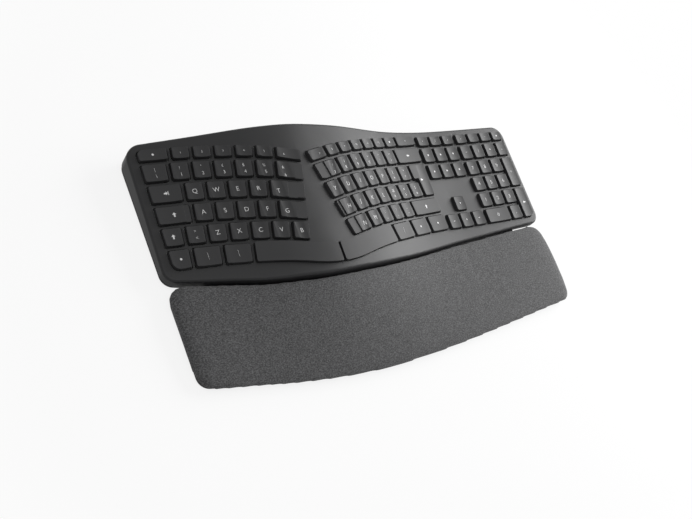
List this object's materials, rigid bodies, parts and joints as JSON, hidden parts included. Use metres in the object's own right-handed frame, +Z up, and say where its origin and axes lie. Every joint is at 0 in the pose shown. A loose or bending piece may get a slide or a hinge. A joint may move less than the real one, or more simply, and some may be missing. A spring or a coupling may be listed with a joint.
{
  "type": "ergonomic split keyboard",
  "caption": "Wireless ergonomic keyboard with a humped split key field, low scissor keys, an integrated woven palm rest and folding tilt legs under its front.",
  "frame": {"origin": "on the table, under the middle of the outline seen from above", "axes": "+X to the typist's right, +Y away from the typist, +Z up"},
  "size_m": [0.456, 0.2331, 0.0481],
  "materials": {
    "graphite_case": "fine matte",
    "graphite_keys": "satin with light legends",
    "black_base": "fine matte",
    "woven_fabric": "heather weave, coated",
    "soft_foam": "open cell",
    "dense_foam": "closed cell",
    "tray_plastic": "fine matte",
    "membrane_film": "printed film",
    "plate_steel": "zinc coated",
    "dome_rubber": "translucent grey",
    "link_plastic": "moulded",
    "board_green": "solder mask",
    "cell_jacket": "printed sleeve",
    "contact_metal": "nickel plated",
    "switch_plastic": "moulded",
    "knob_plastic": "moulded",
    "steel": "zinc plated",
    "foot_rubber": "soft"
  },
  "bodies": {
    "case": {"top_case": "graphite_case", "bottom_case": "black_base", "palm_cover": "woven_fabric", "palm_memory_foam": "soft_foam", "palm_dense_foam": "dense_foam", "palm_tray": "tray_plastic", "membrane_sheet": "membrane_film", "key_plate": "plate_steel", "rubber_domes": "dome_rubber", "scissor_links": "link_plastic", "circuit_board": "board_green", "power_cells": "cell_jacket", "cell_contacts": "contact_metal", "switch_body": "switch_plastic", "leg_pins": "steel", "rubber_feet": "foot_rubber", "case_screws": "steel"},
    "key_arrow_down": {"key_arrow_down": "graphite_keys"},
    "key_arrow_left": {"key_arrow_left": "graphite_keys"},
    "key_arrow_right": {"key_arrow_right": "graphite_keys"},
    "key_arrow_up": {"key_arrow_up": "graphite_keys"},
    "key_backspace": {"key_backspace": "graphite_keys"},
    "key_caps_lock": {"key_caps_lock": "graphite_keys"},
    "key_control_left": {"key_control_left": "graphite_keys"},
    "key_control_right": {"key_control_right": "graphite_keys"},
    "key_enter": {"key_enter": "graphite_keys"},
    "key_escape": {"key_escape": "graphite_keys"},
    "key_numpad_decimal": {"key_numpad_decimal": "graphite_keys"},
    "key_numpad_enter": {"key_numpad_enter": "graphite_keys"},
    "key_numpad_plus": {"key_numpad_plus": "graphite_keys"},
    "key_numpad_zero": {"key_numpad_zero": "graphite_keys"},
    "key_shift_left": {"key_shift_left": "graphite_keys"},
    "key_shift_right": {"key_shift_right": "graphite_keys"},
    "key_space_left": {"key_space_left": "graphite_keys"},
    "key_space_right": {"key_space_right": "graphite_keys"},
    "key_tab": {"key_tab": "graphite_keys"},
    "keys_function_left": {"keys_function_left": "graphite_keys"},
    "keys_function_right": {"keys_function_right": "graphite_keys"},
    "keys_letters_home_left": {"keys_letters_home_left": "graphite_keys"},
    "keys_letters_home_right": {"keys_letters_home_right": "graphite_keys"},
    "keys_letters_lower_left": {"keys_letters_lower_left": "graphite_keys"},
    "keys_letters_lower_right": {"keys_letters_lower_right": "graphite_keys"},
    "keys_letters_upper_left": {"keys_letters_upper_left": "graphite_keys"},
    "keys_letters_upper_right": {"keys_letters_upper_right": "graphite_keys"},
    "keys_media_row": {"keys_media_row": "graphite_keys"},
    "keys_modifiers_right": {"keys_modifiers_right": "graphite_keys"},
    "keys_navigation": {"keys_navigation": "graphite_keys"},
    "keys_number_left": {"keys_number_left": "graphite_keys"},
    "keys_number_right": {"keys_number_right": "graphite_keys"},
    "keys_numpad_123": {"keys_numpad_123": "graphite_keys"},
    "keys_numpad_456": {"keys_numpad_456": "graphite_keys"},
    "keys_numpad_789": {"keys_numpad_789": "graphite_keys"},
    "keys_numpad_top": {"keys_numpad_top": "graphite_keys"},
    "keys_option_command_left": {"keys_option_command_left": "graphite_keys"},
    "battery_door": {"battery_door": "black_base"},
    "switch_knob": {"switch_knob": "knob_plastic"},
    "tilt_leg_long_left": {"tilt_leg_long_left": "black_base"},
    "tilt_leg_short_left": {"tilt_leg_short_left": "black_base"},
    "tilt_leg_long_right": {"tilt_leg_long_right": "black_base"},
    "tilt_leg_short_right": {"tilt_leg_short_right": "black_base"}
  },
  "joints": [
    {"name": "key_arrow_down_press", "type": "slide", "parent": "case", "child": "key_arrow_down", "axis": [-0.0024, 0.0698, -0.9976], "range_m": [0, 0.0018], "stiffness_N_per_m": 300, "springref_m": -0.001, "deforming": ["rubber_domes", "scissor_links"]},
    {"name": "key_arrow_left_press", "type": "slide", "parent": "case", "child": "key_arrow_left", "axis": [-0.0389, 0.0697, -0.9968], "range_m": [0, 0.0018], "stiffness_N_per_m": 300, "springref_m": -0.001, "deforming": ["rubber_domes", "scissor_links"]},
    {"name": "key_arrow_right_press", "type": "slide", "parent": "case", "child": "key_arrow_right", "axis": [0.019, 0.0697, -0.9974], "range_m": [0, 0.0018], "stiffness_N_per_m": 300, "springref_m": -0.001, "deforming": ["rubber_domes", "scissor_links"]},
    {"name": "key_arrow_up_press", "type": "slide", "parent": "case", "child": "key_arrow_up", "axis": [-0.0024, 0.0698, -0.9976], "range_m": [0, 0.0018], "stiffness_N_per_m": 300, "springref_m": -0.001, "deforming": ["rubber_domes", "scissor_links"]},
    {"name": "key_backspace_press", "type": "slide", "parent": "case", "child": "key_backspace", "axis": [-0.1007, 0.0694, -0.9925], "range_m": [0, 0.0018], "stiffness_N_per_m": 300, "springref_m": -0.001, "deforming": ["rubber_domes", "scissor_links"]},
    {"name": "key_caps_lock_press", "type": "slide", "parent": "case", "child": "key_caps_lock", "axis": [0.1752, 0.0687, -0.9821], "range_m": [0, 0.0018], "stiffness_N_per_m": 300, "springref_m": -0.001, "deforming": ["rubber_domes", "scissor_links"]},
    {"name": "key_control_left_press", "type": "slide", "parent": "case", "child": "key_control_left", "axis": [0.1757, 0.0687, -0.9821], "range_m": [0, 0.0018], "stiffness_N_per_m": 300, "springref_m": -0.001, "deforming": ["rubber_domes", "scissor_links"]},
    {"name": "key_control_right_press", "type": "slide", "parent": "case", "child": "key_control_right", "axis": [-0.0881, 0.0695, -0.9937], "range_m": [0, 0.0018], "stiffness_N_per_m": 300, "springref_m": -0.001, "deforming": ["rubber_domes", "scissor_links"]},
    {"name": "key_enter_press", "type": "slide", "parent": "case", "child": "key_enter", "axis": [-0.086, 0.0695, -0.9939], "range_m": [0, 0.0018], "stiffness_N_per_m": 300, "springref_m": -0.001, "deforming": ["rubber_domes", "scissor_links"]},
    {"name": "key_escape_press", "type": "slide", "parent": "case", "child": "key_escape", "axis": [0.1754, 0.0687, -0.9821], "range_m": [0, 0.0018], "stiffness_N_per_m": 300, "springref_m": -0.001, "deforming": ["rubber_domes", "scissor_links"]},
    {"name": "key_numpad_decimal_press", "type": "slide", "parent": "case", "child": "key_numpad_decimal", "axis": [0.032, 0.0697, -0.9971], "range_m": [0, 0.0018], "stiffness_N_per_m": 300, "springref_m": -0.001, "deforming": ["rubber_domes", "scissor_links"]},
    {"name": "key_numpad_enter_press", "type": "slide", "parent": "case", "child": "key_numpad_enter", "axis": [0.0256, 0.0697, -0.9972], "range_m": [0, 0.0018], "stiffness_N_per_m": 300, "springref_m": -0.001, "deforming": ["rubber_domes", "scissor_links"]},
    {"name": "key_numpad_plus_press", "type": "slide", "parent": "case", "child": "key_numpad_plus", "axis": [0.0256, 0.0697, -0.9972], "range_m": [0, 0.0018], "stiffness_N_per_m": 300, "springref_m": -0.001, "deforming": ["rubber_domes", "scissor_links"]},
    {"name": "key_numpad_zero_press", "type": "slide", "parent": "case", "child": "key_numpad_zero", "axis": [0.0304, 0.0697, -0.9971], "range_m": [0, 0.0018], "stiffness_N_per_m": 300, "springref_m": -0.001, "deforming": ["rubber_domes", "scissor_links"]},
    {"name": "key_shift_left_press", "type": "slide", "parent": "case", "child": "key_shift_left", "axis": [0.1757, 0.0687, -0.982], "range_m": [0, 0.0018], "stiffness_N_per_m": 300, "springref_m": -0.001, "deforming": ["rubber_domes", "scissor_links"]},
    {"name": "key_shift_right_press", "type": "slide", "parent": "case", "child": "key_shift_right", "axis": [-0.107, 0.0694, -0.9918], "range_m": [0, 0.0018], "stiffness_N_per_m": 300, "springref_m": -0.001, "deforming": ["rubber_domes", "scissor_links"]},
    {"name": "key_space_left_press", "type": "slide", "parent": "case", "child": "key_space_left", "axis": [0.1238, 0.0692, -0.9899], "range_m": [0, 0.0018], "stiffness_N_per_m": 300, "springref_m": -0.001, "deforming": ["rubber_domes", "scissor_links"]},
    {"name": "key_space_right_press", "type": "slide", "parent": "case", "child": "key_space_right", "axis": [-0.1412, 0.0691, -0.9876], "range_m": [0, 0.0018], "stiffness_N_per_m": 300, "springref_m": -0.001, "deforming": ["rubber_domes", "scissor_links"]},
    {"name": "key_tab_press", "type": "slide", "parent": "case", "child": "key_tab", "axis": [0.1753, 0.0687, -0.9821], "range_m": [0, 0.0018], "stiffness_N_per_m": 300, "springref_m": -0.001, "deforming": ["rubber_domes", "scissor_links"]},
    {"name": "keys_function_left_press", "type": "slide", "parent": "case", "child": "keys_function_left", "axis": [0.1531, 0.0689, -0.9858], "range_m": [0, 0.0018], "stiffness_N_per_m": 300, "springref_m": -0.001, "deforming": ["rubber_domes", "scissor_links"]},
    {"name": "keys_function_right_press", "type": "slide", "parent": "case", "child": "keys_function_right", "axis": [-0.1615, 0.0688, -0.9845], "range_m": [0, 0.0018], "stiffness_N_per_m": 300, "springref_m": -0.001, "deforming": ["rubber_domes", "scissor_links"]},
    {"name": "keys_letters_home_left_press", "type": "slide", "parent": "case", "child": "keys_letters_home_left", "axis": [0.1669, 0.0688, -0.9836], "range_m": [0, 0.0018], "stiffness_N_per_m": 300, "springref_m": -0.001, "deforming": ["rubber_domes", "scissor_links"]},
    {"name": "keys_letters_home_right_press", "type": "slide", "parent": "case", "child": "keys_letters_home_right", "axis": [-0.1745, 0.0687, -0.9823], "range_m": [0, 0.0018], "stiffness_N_per_m": 300, "springref_m": -0.001, "deforming": ["rubber_domes", "scissor_links"]},
    {"name": "keys_letters_lower_left_press", "type": "slide", "parent": "case", "child": "keys_letters_lower_left", "axis": [0.1658, 0.0688, -0.9838], "range_m": [0, 0.0018], "stiffness_N_per_m": 300, "springref_m": -0.001, "deforming": ["rubber_domes", "scissor_links"]},
    {"name": "keys_letters_lower_right_press", "type": "slide", "parent": "case", "child": "keys_letters_lower_right", "axis": [-0.1923, 0.0684, -0.9789], "range_m": [0, 0.0018], "stiffness_N_per_m": 300, "springref_m": -0.001, "deforming": ["rubber_domes", "scissor_links"]},
    {"name": "keys_letters_upper_left_press", "type": "slide", "parent": "case", "child": "keys_letters_upper_left", "axis": [0.1666, 0.0688, -0.9836], "range_m": [0, 0.0018], "stiffness_N_per_m": 300, "springref_m": -0.001, "deforming": ["rubber_domes", "scissor_links"]},
    {"name": "keys_letters_upper_right_press", "type": "slide", "parent": "case", "child": "keys_letters_upper_right", "axis": [-0.1741, 0.0687, -0.9823], "range_m": [0, 0.0018], "stiffness_N_per_m": 300, "springref_m": -0.001, "deforming": ["rubber_domes", "scissor_links"]},
    {"name": "keys_media_row_press", "type": "slide", "parent": "case", "child": "keys_media_row", "axis": [0.0136, 0.0698, -0.9975], "range_m": [0, 0.0018], "stiffness_N_per_m": 300, "springref_m": -0.001, "deforming": ["rubber_domes", "scissor_links"]},
    {"name": "keys_modifiers_right_press", "type": "slide", "parent": "case", "child": "keys_modifiers_right", "axis": [-0.1963, 0.0684, -0.9782], "range_m": [0, 0.0018], "stiffness_N_per_m": 300, "springref_m": -0.001, "deforming": ["rubber_domes", "scissor_links"]},
    {"name": "keys_navigation_press", "type": "slide", "parent": "case", "child": "keys_navigation", "axis": [-0.0075, 0.0697, -0.9975], "range_m": [0, 0.0018], "stiffness_N_per_m": 300, "springref_m": -0.001, "deforming": ["rubber_domes", "scissor_links"]},
    {"name": "keys_number_left_press", "type": "slide", "parent": "case", "child": "keys_number_left", "axis": [0.1615, 0.0688, -0.9845], "range_m": [0, 0.0018], "stiffness_N_per_m": 300, "springref_m": -0.001, "deforming": ["rubber_domes", "scissor_links"]},
    {"name": "keys_number_right_press", "type": "slide", "parent": "case", "child": "keys_number_right", "axis": [-0.1807, 0.0686, -0.9811], "range_m": [0, 0.0018], "stiffness_N_per_m": 300, "springref_m": -0.001, "deforming": ["rubber_domes", "scissor_links"]},
    {"name": "keys_numpad_123_press", "type": "slide", "parent": "case", "child": "keys_numpad_123", "axis": [0.0306, 0.0697, -0.9971], "range_m": [0, 0.0018], "stiffness_N_per_m": 300, "springref_m": -0.001, "deforming": ["rubber_domes", "scissor_links"]},
    {"name": "keys_numpad_456_press", "type": "slide", "parent": "case", "child": "keys_numpad_456", "axis": [0.0306, 0.0697, -0.9971], "range_m": [0, 0.0018], "stiffness_N_per_m": 300, "springref_m": -0.001, "deforming": ["rubber_domes", "scissor_links"]},
    {"name": "keys_numpad_789_press", "type": "slide", "parent": "case", "child": "keys_numpad_789", "axis": [0.0306, 0.0697, -0.9971], "range_m": [0, 0.0018], "stiffness_N_per_m": 300, "springref_m": -0.001, "deforming": ["rubber_domes", "scissor_links"]},
    {"name": "keys_numpad_top_press", "type": "slide", "parent": "case", "child": "keys_numpad_top", "axis": [0.0294, 0.0697, -0.9971], "range_m": [0, 0.0018], "stiffness_N_per_m": 300, "springref_m": -0.001, "deforming": ["rubber_domes", "scissor_links"]},
    {"name": "keys_option_command_left_press", "type": "slide", "parent": "case", "child": "keys_option_command_left", "axis": [0.1813, 0.0686, -0.981], "range_m": [0, 0.0018], "stiffness_N_per_m": 300, "springref_m": -0.001, "deforming": ["rubber_domes", "scissor_links"]},
    {"name": "battery_door_lift", "type": "slide", "parent": "case", "child": "battery_door", "axis": [0, 0, -1], "range_m": [0, 0.012]},
    {"name": "power_switch_slide", "type": "slide", "parent": "case", "child": "switch_knob", "axis": [1, 0, 0], "range_m": [0, 0.003]},
    {"name": "tilt_leg_long_left_fold", "type": "hinge", "parent": "case", "child": "tilt_leg_long_left", "pos_m": [-0.1368, -0.08334, 0.0035], "axis": [-1, 0, 0], "range_deg": [0, 95]},
    {"name": "tilt_leg_short_left_fold", "type": "hinge", "parent": "case", "child": "tilt_leg_short_left", "pos_m": [-0.1368, -0.08334, 0.0035], "axis": [-1, 0, 0], "range_deg": [0, 95]},
    {"name": "tilt_leg_long_right_fold", "type": "hinge", "parent": "case", "child": "tilt_leg_long_right", "pos_m": [0.1368, -0.07882, 0.0035], "axis": [-1, 0, 0], "range_deg": [0, 95]},
    {"name": "tilt_leg_short_right_fold", "type": "hinge", "parent": "case", "child": "tilt_leg_short_right", "pos_m": [0.1368, -0.07882, 0.0035], "axis": [-1, 0, 0], "range_deg": [0, 95]}
  ]
}
